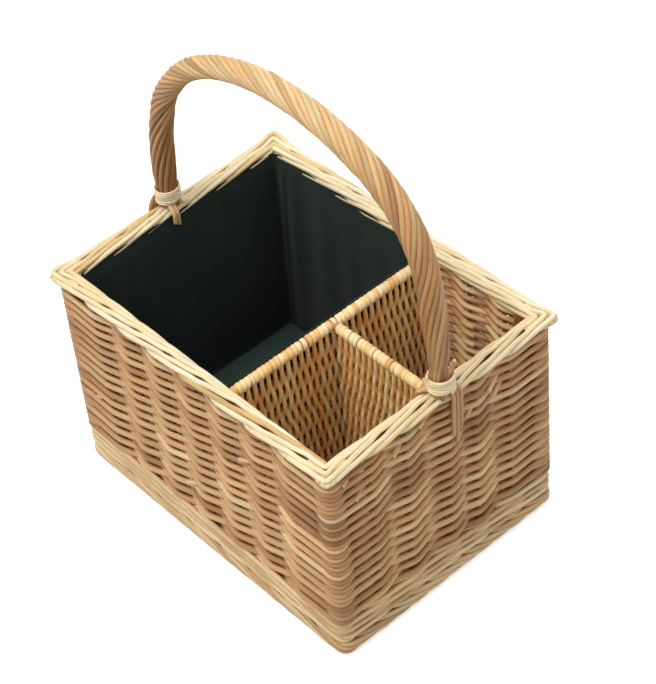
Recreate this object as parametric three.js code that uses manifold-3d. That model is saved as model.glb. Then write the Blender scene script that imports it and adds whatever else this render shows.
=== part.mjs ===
// A willow basket with a bow handle: one lined compartment and two cells for bottles.
// X runs along the long walls, Y along the short walls and Z up. Sizes are in millimetres.
// The origin is on the ground under the middle of the base. Front is -Y and right is +X.

import * as THREE from 'three';
import { mergeVertices } from 'three/addons/utils/BufferGeometryUtils.js';
import Module from 'manifold-3d';

const wasm = await Module();
wasm.setup();

// Driving sizes of the woven body
const RIM_LENGTH = 400;
const RIM_WIDTH = 294;
const BODY_HEIGHT = 258;
const WALL_THICKNESS = 16;
const RIM_OVERHANG = 3.5;
const WEAVER_DIAMETER = 5;
const CREST_WIDTH = 14;

// Border plaited round the rim
const BORDER_WIDTH = 22;
const BORDER_HEIGHT = 15;
const BORDER_EDGE_ROUNDING = 4;
const BORDER_CORNER_RADIUS = 5;

// Foot wale, the thick woven band that the basket stands on
const WALE_HEIGHT = 40;
const WALE_PROUD = 1;
const WALE_EDGE_ROUNDING = 3;

// Upright rods
const POST_DIAMETER = 11;
const STAKE_DIAMETER = 5.5;
const LONG_WALL_STAKES = 7;
const SHORT_WALL_STAKES = 5;
const STAKE_TO_CORE_GAP = 2;
const SEAT_HEIGHT = 8;
const SEAT_IN_BORDER = 7;

// Base panel and the sticks woven into it
const BASE_THICKNESS = 12;
const BASE_LIFT = 3;
const BASE_STICK_DIAMETER = 7;
const BASE_STICKS = 5;

// Dividers
const DIVIDER_THICKNESS = 12;
const DIVIDER_OFFSET = 48;
const DIVIDER_DROP = 5;
const DIVIDER_RAIL_DIAMETER = 12;

// Cloth lining of the large compartment
const LINER_THICKNESS = 2;

// Handle: a bow of rods roped round a core, with a winding of cane at each foot
const HANDLE_TOP = 512.5;
const HANDLE_DIAMETER = 25;
const HANDLE_CORE_DIAMETER = 7;
const HANDLE_FOOT_INSET = 8.5;
const HANDLE_CORE_SEAT = 30;
const NECK_DIAMETER = 22;
const FOOT_FLARE = 2.4;
const CANE_DIAMETER = 2.8;
const CANE_GAP = 0.5;
const CANE_LOOPS = 5;
const BINDING_LIFT = 4;

// Bundles of the handle's rod ends: one over the rim and down the wall, one inside the rim
const OUTER_BUNDLE_WIDTH = 16;
const OUTER_BUNDLE_OFFSET = 9;
const OUTER_BUNDLE_LENGTH = 62;
const INNER_BUNDLE_WIDTH = 9;
const BUNDLE_THICKNESS = 4.5;

// The gap between pieces that touch
const CLEARANCE = 0.3;

// How finely round shapes are faceted
const STAKE_SIDES = 8;
const POST_SIDES = 12;
const HANDLE_SIDES = 14;
const CORE_SIDES = 8;
const CORNER_STEPS = 3;
const HANDLE_STEPS = 36;
const CORE_STEPS = 44;
const CANE_SIDES = 6;
const CANE_STEPS_PER_LOOP = 24;

// The two halves of the bow from foot to top: [share of the half span, share of the rise]
const LEFT_BOW_SHARES = [
  [0.992, 0.241], [0.962, 0.41], [0.899, 0.578], [0.825, 0.676], [0.746, 0.753],
  [0.667, 0.813], [0.573, 0.864], [0.453, 0.916], [0.32, 0.955], [0.183, 0.983],
];
const RIGHT_BOW_SHARES = [
  [1.005, 0.235], [0.988, 0.402], [0.955, 0.58], [0.901, 0.692], [0.818, 0.79],
  [0.705, 0.866], [0.583, 0.916], [0.462, 0.951], [0.322, 0.979], [0.181, 0.996],
];

// Sizes that follow from the driving sizes
const wallHalfX = RIM_LENGTH / 2 - RIM_OVERHANG;
const wallHalfY = RIM_WIDTH / 2 - RIM_OVERHANG;
const insideHalfX = wallHalfX - WALL_THICKNESS;
const insideHalfY = wallHalfY - WALL_THICKNESS;
const hollowDepth = (WALL_THICKNESS - WEAVER_DIAMETER) / 2;
const postInset = POST_DIAMETER / 2 + WEAVER_DIAMETER;
const postX = wallHalfX - postInset;
const postY = wallHalfY - postInset;
const stakeLineX = wallHalfX - WALL_THICKNESS / 2;
const stakeLineY = wallHalfY - WALL_THICKNESS / 2;
const borderBottom = BODY_HEIGHT - BORDER_HEIGHT;
const wallBottom = WALE_HEIGHT + CLEARANCE;
const wallTop = borderBottom - CLEARANCE;
const baseTop = BASE_LIFT + BASE_THICKNESS;
const uprightBottom = SEAT_HEIGHT + CLEARANCE;
const uprightTop = borderBottom + SEAT_IN_BORDER - CLEARANCE;
const borderInsideX = RIM_LENGTH / 2 - BORDER_WIDTH;
const borderInsideY = RIM_WIDTH / 2 - BORDER_WIDTH;
const railRadius = DIVIDER_RAIL_DIAMETER / 2;
const railHeight = BODY_HEIGHT - DIVIDER_DROP - railRadius;
const dividerTop = railHeight - railRadius - CLEARANCE;
const handleFootX = RIM_LENGTH / 2 - HANDLE_FOOT_INSET;
const besideCore = HANDLE_CORE_DIAMETER / 2 + STAKE_TO_CORE_GAP + STAKE_DIAMETER / 2;
const handleRise = HANDLE_TOP - HANDLE_DIAMETER / 2 - BODY_HEIGHT;
const canePitch = CANE_DIAMETER + CANE_GAP;
const bindingBottom = BODY_HEIGHT + BINDING_LIFT;
const neckTop = bindingBottom + CANE_LOOPS * canePitch + CANE_DIAMETER + CLEARANCE;
const neckBottom = BODY_HEIGHT + CLEARANCE;

// The finish of each kind of piece
const PALE_WILLOW = { color: 0xe9cf9c, roughness: 0.5, metalness: 0 };
const BUFF_WILLOW = { color: 0xc79d66, roughness: 0.58, metalness: 0 };
const BROWN_WILLOW = { color: 0xb07f4c, roughness: 0.6, metalness: 0 };
const HANDLE_WILLOW = { color: 0xd0a870, roughness: 0.48, metalness: 0 };
const CANE = { color: 0xdcc090, roughness: 0.45, metalness: 0 };
const GREEN_CLOTH = { color: 0x16211b, roughness: 0.95, metalness: 0 };

// Joins and cuts

function toSolid(geometry) {
  const bare = geometry.clone();
  bare.deleteAttribute('normal');
  bare.deleteAttribute('uv');
  const merged = mergeVertices(bare, 1e-4);
  const vertProperties = new Float32Array(merged.attributes.position.array);
  const triVerts = new Uint32Array(merged.index.array);
  return new wasm.Manifold(new wasm.Mesh({ numProp: 3, vertProperties, triVerts }));
}

function toGeometry(solid) {
  const mesh = solid.getMesh();
  const geometry = new THREE.BufferGeometry();
  geometry.setAttribute('position', new THREE.BufferAttribute(mesh.vertProperties, 3));
  geometry.setIndex(new THREE.BufferAttribute(mesh.triVerts, 1));
  geometry.computeVertexNormals();
  return geometry;
}

function cutAll(geometry, cutters) {
  let solid = toSolid(geometry);
  for (const cutter of cutters) solid = solid.subtract(toSolid(cutter));
  return toGeometry(solid);
}

function piece(name, geometry, finish, group) {
  const mesh = new THREE.Mesh(geometry, new THREE.MeshStandardMaterial(finish));
  mesh.name = name;
  group.add(mesh);
  return mesh;
}

// Plain shapes

function roundedRectangle(halfX, halfY, radius) {
  const x = halfX - radius;
  const y = halfY - radius;
  const outline = new THREE.Shape();
  outline.absarc(x, y, radius, 0, Math.PI / 2);
  outline.absarc(-x, y, radius, Math.PI / 2, Math.PI);
  outline.absarc(-x, -y, radius, Math.PI, Math.PI * 1.5);
  outline.absarc(x, -y, radius, Math.PI * 1.5, Math.PI * 2);
  outline.closePath();
  return outline;
}

function rectangle(minX, minY, maxX, maxY) {
  return new THREE.Shape([
    new THREE.Vector2(minX, minY), new THREE.Vector2(maxX, minY),
    new THREE.Vector2(maxX, maxY), new THREE.Vector2(minX, maxY),
  ]);
}

function block(minX, maxX, minY, maxY, minZ, maxZ) {
  const geometry = new THREE.BoxGeometry(maxX - minX, maxY - minY, maxZ - minZ);
  return geometry.translate((minX + maxX) / 2, (minY + maxY) / 2, (minZ + maxZ) / 2);
}

// A ring that lies flat, with rounded edges above and below when edge is more than zero
function ring(outline, holeHalfX, holeHalfY, bottom, top, edge) {
  outline.holes.push(rectangle(-holeHalfX, -holeHalfY, holeHalfX, holeHalfY));
  const geometry = new THREE.ExtrudeGeometry(outline, {
    depth: top - bottom - 2 * edge,
    curveSegments: CORNER_STEPS,
    bevelEnabled: edge > 0,
    bevelThickness: edge,
    bevelSize: edge,
    bevelOffset: -edge,
    bevelSegments: 2,
  });
  return geometry.translate(0, 0, bottom + edge);
}

// An upright round rod on the Z axis
function uprightRod(radius, bottom, top, sides) {
  const geometry = new THREE.CylinderGeometry(radius, radius, top - bottom, sides);
  geometry.rotateX(Math.PI / 2);
  return geometry.translate(0, 0, (bottom + top) / 2);
}

// A tube of one section along a path
function tube(path, radius, sides, steps) {
  const section = new THREE.Shape();
  for (let i = 0; i < sides; i += 1) {
    const angle = (i * 2 * Math.PI) / sides;
    const x = radius * Math.cos(angle);
    const y = radius * Math.sin(angle);
    if (i === 0) section.moveTo(x, y);
    else section.lineTo(x, y);
  }
  section.closePath();
  return new THREE.ExtrudeGeometry(section, { steps, extrudePath: path, bevelEnabled: false });
}

// Where the upright rods stand. A short wall's middle stake stands beside the handle's core.

function stakePlaces() {
  const places = [];
  for (const [side, sign] of [['front', -1], ['back', 1]]) {
    for (let i = 1; i <= LONG_WALL_STAKES; i += 1) {
      const x = -postX + (2 * postX * i) / (LONG_WALL_STAKES + 1);
      places.push({ name: `stake_${side}_${i}`, x, y: sign * stakeLineY });
    }
  }
  for (const [side, sign] of [['left', -1], ['right', 1]]) {
    for (let i = 1; i <= SHORT_WALL_STAKES; i += 1) {
      const evenly = -postY + (2 * postY * i) / (SHORT_WALL_STAKES + 1);
      const y = Math.abs(evenly) < besideCore ? sign * besideCore : evenly;
      places.push({ name: `stake_${side}_${i}`, x: sign * stakeLineX, y });
    }
  }
  return places;
}

function postPlaces() {
  return [
    { name: 'corner_post_front_left', x: -postX, y: -postY },
    { name: 'corner_post_front_right', x: postX, y: -postY },
    { name: 'corner_post_back_left', x: -postX, y: postY },
    { name: 'corner_post_back_right', x: postX, y: postY },
  ];
}

const uprightLength = { bottom: uprightBottom, top: uprightTop };
const boreLength = { bottom: SEAT_HEIGHT, top: borderBottom + SEAT_IN_BORDER };

function stakeRod(extra, length) {
  return uprightRod(STAKE_DIAMETER / 2 + extra, length.bottom, length.top, STAKE_SIDES);
}

function postRod(extra, length) {
  return uprightRod(POST_DIAMETER / 2 + extra, length.bottom, length.top, POST_SIDES);
}

// The clear channels that the stakes, posts and handle core pass through
function uprightChannels() {
  const channels = [];
  for (const place of stakePlaces()) {
    channels.push(stakeRod(CLEARANCE, boreLength).translate(place.x, place.y, 0));
  }
  for (const place of postPlaces()) {
    channels.push(postRod(CLEARANCE, boreLength).translate(place.x, place.y, 0));
  }
  channels.push(handleCoreTube(CLEARANCE));
  return channels;
}

// The part of a ring that belongs to one wall, up to the mitres through the corner posts
function wallWedge(side) {
  const reach = (BORDER_WIDTH + WALL_THICKNESS) * 1.5;
  const cut = CLEARANCE / Math.SQRT2;
  const outX = RIM_LENGTH / 2 + reach;
  const outY = RIM_WIDTH / 2 + reach;
  const inX = RIM_LENGTH / 2 - reach;
  const inY = RIM_WIDTH / 2 - reach;
  const long = side === 'front' || side === 'back';
  const sign = side === 'front' || side === 'left' ? -1 : 1;
  const outline = long
    ? [[-outX, sign * outY], [outX, sign * outY], [inX, sign * inY], [-inX, sign * inY]]
    : [[sign * outX, -outY], [sign * outX, outY], [sign * inX, inY], [sign * inX, -inY]];
  const shape = new THREE.Shape(outline.map(([x, y]) => new THREE.Vector2(x, y)));
  const wedge = new THREE.ExtrudeGeometry(shape, { depth: BODY_HEIGHT + reach, bevelEnabled: false });
  return wedge.translate(long ? 0 : sign * cut, long ? sign * cut : 0, 0);
}

// The woven body

function makeUprights(group) {
  for (const place of stakePlaces()) {
    const stake = piece(place.name, stakeRod(0, uprightLength), BROWN_WILLOW, group);
    stake.position.set(place.x, place.y, 0);
  }
  for (const place of postPlaces()) {
    const post = piece(place.name, postRod(0, uprightLength), BROWN_WILLOW, group);
    post.position.set(place.x, place.y, 0);
  }
}

function makeWale(group, channels) {
  const outline = roundedRectangle(
    wallHalfX + WALE_PROUD, wallHalfY + WALE_PROUD, postInset + WALE_PROUD,
  );
  const band = ring(outline, insideHalfX, insideHalfY, 0, WALE_HEIGHT, WALE_EDGE_ROUNDING);
  piece('foot_wale', cutAll(band, channels), PALE_WILLOW, group);
}

// A ring split into its four walls, with the cutters taken out of it
function makeFourSides(prefix, band, cutters, finish, group) {
  let solid = toSolid(band);
  for (const cutter of cutters) solid = solid.subtract(toSolid(cutter));
  for (const side of ['front', 'back', 'left', 'right']) {
    const wall = solid.intersect(toSolid(wallWedge(side)));
    piece(`${prefix}_${side}`, toGeometry(wall), finish, group);
  }
}

// The stretches between the crests of the front wall, or of the right wall when long is false.
// A crest stands over each upright and over the handle's core.
function bays(long) {
  const name = long ? 'stake_front_' : 'stake_right_';
  const stakes = stakePlaces().filter((place) => place.name.startsWith(name));
  const places = stakes.map((place) => (long ? place.x : place.y));
  const post = long ? postX : postY;
  const uprights = [-post, ...places, post];
  if (!long) uprights.push(0);
  uprights.sort((a, b) => a - b);
  const stretches = [];
  for (let i = 1; i < uprights.length; i += 1) {
    const start = uprights[i - 1] + CREST_WIDTH / 2;
    const end = uprights[i] - CREST_WIDTH / 2;
    if (start < end) stretches.push([start, end]);
  }
  return stretches;
}

// A hollow down a face of the front wall, deepest in its middle, as a body to cut away. It sinks
// outwards from the inner face, where into is 1, and inwards from the outer face, where it is -1.
function hollow([start, end], face, into) {
  const middle = (start + end) / 2;
  const mouth = ((end - start) / 2) * (1 + CLEARANCE / hollowDepth);
  const section = new THREE.Shape([
    new THREE.Vector2(middle, -face - into * hollowDepth),
    new THREE.Vector2(middle + mouth, -face + into * CLEARANCE),
    new THREE.Vector2(middle - mouth, -face + into * CLEARANCE),
  ]);
  const depth = wallTop - wallBottom + 2 * CLEARANCE;
  const cutter = new THREE.ExtrudeGeometry(section, { depth, bevelEnabled: false });
  return cutter.translate(0, 0, wallBottom - CLEARANCE);
}

// Every woven rod passes outside one stake and inside the next, so a wall is thick at its
// stakes and one rod thick halfway between them
function wallHollows() {
  const hollows = [];
  for (let turn = 0; turn < 4; turn += 1) {
    const long = turn % 2 === 0;
    const angle = (turn * Math.PI) / 2;
    for (const bay of bays(long)) {
      hollows.push(hollow(bay, long ? wallHalfY : wallHalfX, -1).rotateZ(angle));
      hollows.push(hollow(bay, long ? insideHalfY : insideHalfX, 1).rotateZ(angle));
    }
  }
  return hollows;
}

function makeWalls(group, channels) {
  const outline = roundedRectangle(wallHalfX, wallHalfY, postInset);
  const band = ring(outline, insideHalfX, insideHalfY, wallBottom, wallTop, 0);
  makeFourSides('wall_weave', band, [...channels, ...wallHollows()], BUFF_WILLOW, group);
}

function makeBorder(group, channels) {
  const outline = roundedRectangle(RIM_LENGTH / 2, RIM_WIDTH / 2, BORDER_CORNER_RADIUS);
  const band = ring(
    outline, borderInsideX, borderInsideY, borderBottom, BODY_HEIGHT, BORDER_EDGE_ROUNDING,
  );
  makeFourSides('border', band, channels, PALE_WILLOW, group);
}

function baseStick(extra, halfLength) {
  const stick = new THREE.CylinderGeometry(
    BASE_STICK_DIAMETER / 2 + extra, BASE_STICK_DIAMETER / 2 + extra, 2 * halfLength, STAKE_SIDES,
  );
  return stick.rotateZ(Math.PI / 2);
}

function makeBase(group) {
  const halfX = insideHalfX - CLEARANCE;
  const halfY = insideHalfY - CLEARANCE;
  const stickHeight = BASE_LIFT + BASE_THICKNESS / 2;
  const channels = [];
  for (let i = 1; i <= BASE_STICKS; i += 1) {
    const y = -halfY + (2 * halfY * i) / (BASE_STICKS + 1);
    channels.push(baseStick(CLEARANCE, halfX + WALL_THICKNESS).translate(0, y, stickHeight));
    const stick = piece(`base_stick_${i}`, baseStick(0, halfX), BROWN_WILLOW, group);
    stick.position.set(0, y, stickHeight);
  }
  const panel = block(-halfX, halfX, -halfY, halfY, BASE_LIFT, baseTop);
  piece('base_weave', cutAll(panel, channels), BUFF_WILLOW, group);
}

// Dividers

function makeDividers(group) {
  const half = DIVIDER_THICKNESS / 2;
  const bottom = baseTop + CLEARANCE;
  const mainFace = DIVIDER_OFFSET + half + CLEARANCE;
  const mainPanel = block(
    DIVIDER_OFFSET - half, DIVIDER_OFFSET + half,
    -insideHalfY + CLEARANCE, insideHalfY - CLEARANCE, bottom, dividerTop,
  );
  piece('main_divider_weave', mainPanel, BUFF_WILLOW, group);
  const smallPanel = block(
    mainFace, insideHalfX - CLEARANCE, -half, half, bottom, dividerTop,
  );
  piece('small_divider_weave', smallPanel, BUFF_WILLOW, group);

  const mainLength = 2 * (borderInsideY - CLEARANCE);
  const mainRail = new THREE.CylinderGeometry(railRadius, railRadius, mainLength, POST_SIDES);
  const main = piece('main_divider_top_rod', mainRail, PALE_WILLOW, group);
  main.position.set(DIVIDER_OFFSET, 0, railHeight);

  const smallStart = DIVIDER_OFFSET + railRadius + CLEARANCE;
  const smallEnd = borderInsideX - CLEARANCE;
  const smallRail = new THREE.CylinderGeometry(
    railRadius, railRadius, smallEnd - smallStart, POST_SIDES,
  );
  const small = piece('small_divider_top_rod', smallRail, PALE_WILLOW, group);
  small.rotation.z = -Math.PI / 2;
  small.position.set((smallStart + smallEnd) / 2, 0, railHeight);
}

// Cloth lining: four walls and a floor in one piece, open at the top under the border

function makeLiner(group) {
  const minX = -insideHalfX + CLEARANCE;
  const maxX = DIVIDER_OFFSET - DIVIDER_THICKNESS / 2 - CLEARANCE;
  const halfY = insideHalfY - CLEARANCE;
  const bottom = baseTop + CLEARANCE;
  const skin = LINER_THICKNESS;
  const outside = block(minX, maxX, -halfY, halfY, bottom, wallTop);
  const inside = block(
    minX + skin, maxX - skin, -halfY + skin, halfY - skin, bottom + skin, BODY_HEIGHT,
  );
  piece('compartment_liner', cutAll(outside, [inside]), GREEN_CLOTH, group);
}

// Handle

function bowPoint(side, spanShare, riseShare) {
  return new THREE.Vector3(
    side * handleFootX * spanShare, 0, BODY_HEIGHT + handleRise * riseShare,
  );
}

// The bow from the left foot over the top to the right foot, with extra points below each foot
function bowPath(footHeights) {
  const points = [];
  for (const height of footHeights) points.push(new THREE.Vector3(-handleFootX, 0, height));
  for (const [span, rise] of LEFT_BOW_SHARES) points.push(bowPoint(-1, span, rise));
  points.push(bowPoint(0, 0, 1));
  for (const [span, rise] of [...RIGHT_BOW_SHARES].reverse()) points.push(bowPoint(1, span, rise));
  for (const height of [...footHeights].reverse()) {
    points.push(new THREE.Vector3(handleFootX, 0, height));
  }
  return new THREE.CatmullRomCurve3(points);
}

function handleCoreTube(extra) {
  const end = HANDLE_CORE_SEAT - extra;
  const middle = (end + BODY_HEIGHT) / 2;
  const path = bowPath([end, middle, BODY_HEIGHT]);
  return tube(path, HANDLE_CORE_DIAMETER / 2 + extra, CORE_SIDES, CORE_STEPS);
}

// The bound neck below the bow, which flares at its foot
function neckShape() {
  const radius = NECK_DIAMETER / 2;
  const flareTop = bindingBottom - CLEARANCE;
  const overlap = HANDLE_DIAMETER / 2;
  const profile = [
    [0, neckBottom], [radius + FOOT_FLARE, neckBottom], [radius + FOOT_FLARE, flareTop],
    [radius, flareTop], [radius, neckTop], [HANDLE_DIAMETER / 2, neckTop], [0, neckTop + overlap],
  ];
  const outline = profile.map(([r, z]) => new THREE.Vector2(r, z));
  return new THREE.LatheGeometry(outline, HANDLE_SIDES).rotateX(Math.PI / 2);
}

// A flat bundle with its outline in X and Z, standing width wide about offset in Y
function bundle(outline, width, offset) {
  const shape = new THREE.Shape(outline.map(([x, z]) => new THREE.Vector2(x, z)));
  const geometry = new THREE.ExtrudeGeometry(shape, { depth: width, bevelEnabled: false });
  geometry.rotateX(Math.PI / 2);
  return geometry.translate(0, offset + width / 2, 0);
}

// The outer bundle runs from the neck over the rim and down the face of the wall
function outerBundle(offset) {
  const rim = RIM_LENGTH / 2 + CLEARANCE;
  const wall = wallHalfX + CLEARANCE;
  const top = bindingBottom - CLEARANCE;
  const tip = BODY_HEIGHT - OUTER_BUNDLE_LENGTH;
  const shoulder = borderBottom - RIM_OVERHANG - CLEARANCE;
  return bundle([
    [rim, top], [rim, borderBottom], [wall, shoulder], [wall, tip],
    [wall + BUNDLE_THICKNESS / 2, tip], [wall + BUNDLE_THICKNESS, shoulder],
    [rim + BUNDLE_THICKNESS, borderBottom], [rim + BUNDLE_THICKNESS, top],
  ], OUTER_BUNDLE_WIDTH, offset);
}

// The inner bundle crosses the rim's inner edge beside the small divider's rail
function innerBundle(offset) {
  const rim = borderInsideX - CLEARANCE;
  const top = bindingBottom - CLEARANCE;
  const start = handleFootX - NECK_DIAMETER / 4;
  return bundle([
    [start, neckBottom], [start, top], [rim - BUNDLE_THICKNESS, top],
    [rim - BUNDLE_THICKNESS, borderBottom], [rim, borderBottom], [rim, neckBottom],
  ], INNER_BUNDLE_WIDTH, offset);
}

// The left foot is the right foot turned half round, with its bundles on the same sides in Y
function footParts(side) {
  const innerOffset = railRadius + 2 * CLEARANCE + INNER_BUNDLE_WIDTH / 2;
  const parts = [
    neckShape().translate(handleFootX, 0, 0),
    outerBundle(side * OUTER_BUNDLE_OFFSET),
    innerBundle(-side * innerOffset),
  ];
  return parts.map((part) => (side > 0 ? part : part.rotateZ(Math.PI)));
}

function makeRodWrap(group) {
  const path = bowPath([neckTop]);
  let solid = toSolid(tube(path, HANDLE_DIAMETER / 2, HANDLE_SIDES, HANDLE_STEPS));
  for (const part of [...footParts(1), ...footParts(-1)]) solid = solid.add(toSolid(part));
  solid = solid.subtract(toSolid(handleCoreTube(CLEARANCE)));
  piece('handle_rod_wrap', toGeometry(solid), HANDLE_WILLOW, group);
}

// The centre line of a winding round the Z axis, with straight cut ends one diameter long
function windingPoints(radius) {
  const steps = CANE_LOOPS * CANE_STEPS_PER_LOOP;
  const points = [];
  for (let i = 0; i <= steps; i += 1) {
    const angle = (i * 2 * Math.PI) / CANE_STEPS_PER_LOOP;
    const rise = (canePitch * i) / CANE_STEPS_PER_LOOP;
    points.push(new THREE.Vector3(radius * Math.cos(angle), radius * Math.sin(angle), rise));
  }
  const first = points[0].clone().sub(points[1]).setLength(CANE_DIAMETER);
  const last = points[steps].clone().sub(points[steps - 1]).setLength(CANE_DIAMETER);
  points.unshift(points[0].clone().add(first));
  points.push(points[steps + 1].clone().add(last));
  return points;
}

// One unbroken tube through the points, with a section square to the run at every point
function windingTube(centres) {
  const positions = [];
  const index = [];
  const radius = CANE_DIAMETER / 2;
  const up = new THREE.Vector3(0, 0, 1);
  centres.forEach((centre, i) => {
    const before = centres[Math.max(i - 1, 0)];
    const after = centres[Math.min(i + 1, centres.length - 1)];
    const run = after.clone().sub(before).normalize();
    const across = run.clone().cross(up).normalize();
    const lift = across.clone().cross(run);
    for (let k = 0; k < CANE_SIDES; k += 1) {
      const angle = (k * 2 * Math.PI) / CANE_SIDES;
      const point = centre.clone()
        .addScaledVector(across, radius * Math.cos(angle))
        .addScaledVector(lift, radius * Math.sin(angle));
      positions.push(point.x, point.y, point.z);
    }
  });
  const last = (centres.length - 1) * CANE_SIDES;
  for (let i = 0; i < centres.length - 1; i += 1) {
    for (let k = 0; k < CANE_SIDES; k += 1) {
      const a = i * CANE_SIDES + k;
      const b = i * CANE_SIDES + ((k + 1) % CANE_SIDES);
      index.push(a, b + CANE_SIDES, b, a, a + CANE_SIDES, b + CANE_SIDES);
    }
  }
  for (let k = 1; k < CANE_SIDES - 1; k += 1) {
    index.push(0, k, k + 1);
    index.push(last, last + k + 1, last + k);
  }
  const geometry = new THREE.BufferGeometry();
  geometry.setAttribute('position', new THREE.Float32BufferAttribute(positions, 3));
  geometry.setIndex(index);
  geometry.computeVertexNormals();
  return geometry;
}

// The least gap between loops, measured on the tube's own points at least half a loop apart
function leastGap(geometry) {
  const place = geometry.attributes.position;
  const apart = (CANE_STEPS_PER_LOOP / 2) * CANE_SIDES;
  const a = new THREE.Vector3();
  const b = new THREE.Vector3();
  let least = Infinity;
  for (let i = 0; i < place.count; i += 1) {
    a.fromBufferAttribute(place, i);
    for (let j = i + apart; j < place.count; j += 1) {
      least = Math.min(least, a.distanceTo(b.fromBufferAttribute(place, j)));
    }
  }
  return least;
}

function makeBindings(group) {
  const radius = NECK_DIAMETER / 2 + CLEARANCE + CANE_DIAMETER / 2;
  const winding = windingTube(windingPoints(radius));
  console.log(`least gap between the winding's loops: ${leastGap(winding).toFixed(2)} mm`);
  for (const [name, turn] of [['left', Math.PI], ['right', 0]]) {
    const binding = piece(`handle_binding_${name}`, winding.clone(), CANE, group);
    binding.rotation.z = turn;
    binding.position.set(turn ? -handleFootX : handleFootX, 0, bindingBottom + CANE_DIAMETER / 2);
  }
}

function makeHandle(group) {
  piece('handle_core', handleCoreTube(0), BROWN_WILLOW, group);
  makeRodWrap(group);
  makeBindings(group);
}

const body = new THREE.Group();
const dividers = new THREE.Group();
const lining = new THREE.Group();
const handle = new THREE.Group();
const channels = uprightChannels();

makeBase(body);
makeWale(body, channels);
makeUprights(body);
makeWalls(body, channels);
makeBorder(body, channels);
makeDividers(dividers);
makeLiner(lining);
makeHandle(handle);

const basket = new THREE.Group();
basket.add(body, dividers, lining, handle);

export default basket;
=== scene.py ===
"""A willow basket for bottles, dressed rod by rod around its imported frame.

Lengths are in millimetres, and become metres where a mesh is made.
"""
import math

import bpy
import numpy as np
from mathutils import Matrix, Vector


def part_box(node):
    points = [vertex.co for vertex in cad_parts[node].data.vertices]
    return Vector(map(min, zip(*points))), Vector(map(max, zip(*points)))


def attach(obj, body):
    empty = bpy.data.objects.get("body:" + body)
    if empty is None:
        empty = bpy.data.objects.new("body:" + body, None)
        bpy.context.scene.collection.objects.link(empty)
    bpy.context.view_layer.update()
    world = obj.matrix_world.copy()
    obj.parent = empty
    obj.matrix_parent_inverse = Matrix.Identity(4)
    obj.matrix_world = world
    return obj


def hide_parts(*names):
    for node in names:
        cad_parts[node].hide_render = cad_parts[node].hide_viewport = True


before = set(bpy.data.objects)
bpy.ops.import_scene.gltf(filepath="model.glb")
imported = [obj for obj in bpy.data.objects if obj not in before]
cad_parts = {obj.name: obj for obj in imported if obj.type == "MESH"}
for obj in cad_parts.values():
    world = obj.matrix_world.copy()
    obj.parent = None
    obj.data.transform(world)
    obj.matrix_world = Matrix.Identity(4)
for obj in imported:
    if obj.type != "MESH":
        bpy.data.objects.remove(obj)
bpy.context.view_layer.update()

MM = 0.001
BODY = "root"
# The corners, and their places among the post runs
CORNERS = {"front_left": 3, "front_right": 0, "back_left": 2, "back_right": 1}
SIDES, STAKE_COUNTS = ("front", "right", "back", "left"), (7, 5, 7, 5)
seed = np.random.default_rng(41)


def span(node):
    """The lowest and highest corner of a frame node."""
    low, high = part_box(node)
    return np.array(low) / MM, np.array(high) / MM


def middle(node):
    low, high = span(node)
    return (low + high) / 2


# Sizes that the frame gives
POST_X, POST_Y = middle("corner_post_back_right")[:2]
STAKE_X = middle("stake_right_1")[0]
UPRIGHT_LOW, UPRIGHT_HIGH = span("stake_front_1")[0][2], span("stake_front_1")[1][2]
BASE_LOW, BASE_HIGH = span("base_weave")
RAIL_X, RAIL_Z = middle("main_divider_top_rod")[0], middle("main_divider_top_rod")[2]
LINER_LOW, LINER_HIGH = span("compartment_liner")
FOOT_X = middle("handle_binding_right")[0]
BIND_LOW, BIND_HIGH = span("handle_binding_right")[0][2], span("handle_binding_right")[1][2]
RIM_TOP = span("border_front")[1][2]
HANDLE_TOP = span("handle_rod_wrap")[1][2]

# The weave line: rods on it pass outside the posts, and the stakes' middles lie LAY_OUT inside it
POST_R, STAKE_R, LAY_OUT = 5.5, 2.75, 5.5
TURN_R = POST_R + 2.5


# Curves

def unit(vectors):
    return vectors / np.linalg.norm(vectors, axis=1)[:, None]


def columns(*parts):
    """Arrays side by side. A single value fills its whole column."""
    return np.stack(np.broadcast_arrays(*parts), axis=1)


def resampled(values, n):
    """The same run of values at n even places."""
    return np.interp(np.linspace(0, 1, n), np.linspace(0, 1, np.size(values)), np.ravel(values))


def stepped(x, knots, values, easing):
    """The knots' values carried over x. easing shapes the way from each knot to the next."""
    k = np.clip(np.searchsorted(knots, x, side="right") - 1, 0, len(knots) - 2)
    return values[k] + (values[k + 1] - values[k]) * easing((x - knots[k]) / (knots[k + 1] - knots[k]))


def with_ends(values):
    """The same values with the first and the last one twice."""
    return np.concatenate([values[:1], values, values[-1:]])


def drop_repeats(points):
    steps = np.linalg.norm(np.diff(points, axis=0), axis=1)
    return points[np.concatenate([[True], steps > 1e-5])]


def arc_lengths(points):
    return np.concatenate([[0.0], np.cumsum(np.linalg.norm(np.diff(points, axis=0), axis=1))])


def even(points, spacing, rounds=0):
    """The same line with points at an even spacing, and with its bends rounded off."""
    points = drop_repeats(np.asarray(points, float))
    along = arc_lengths(points)
    at = np.linspace(0, along[-1], max(3, int(round(along[-1] / spacing)) + 1))
    points = np.stack([np.interp(at, along, column) for column in points.T], axis=1)
    for _ in range(rounds):
        points[1:-1] = 0.25 * points[:-2] + 0.5 * points[1:-1] + 0.25 * points[2:]
    return points


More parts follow.
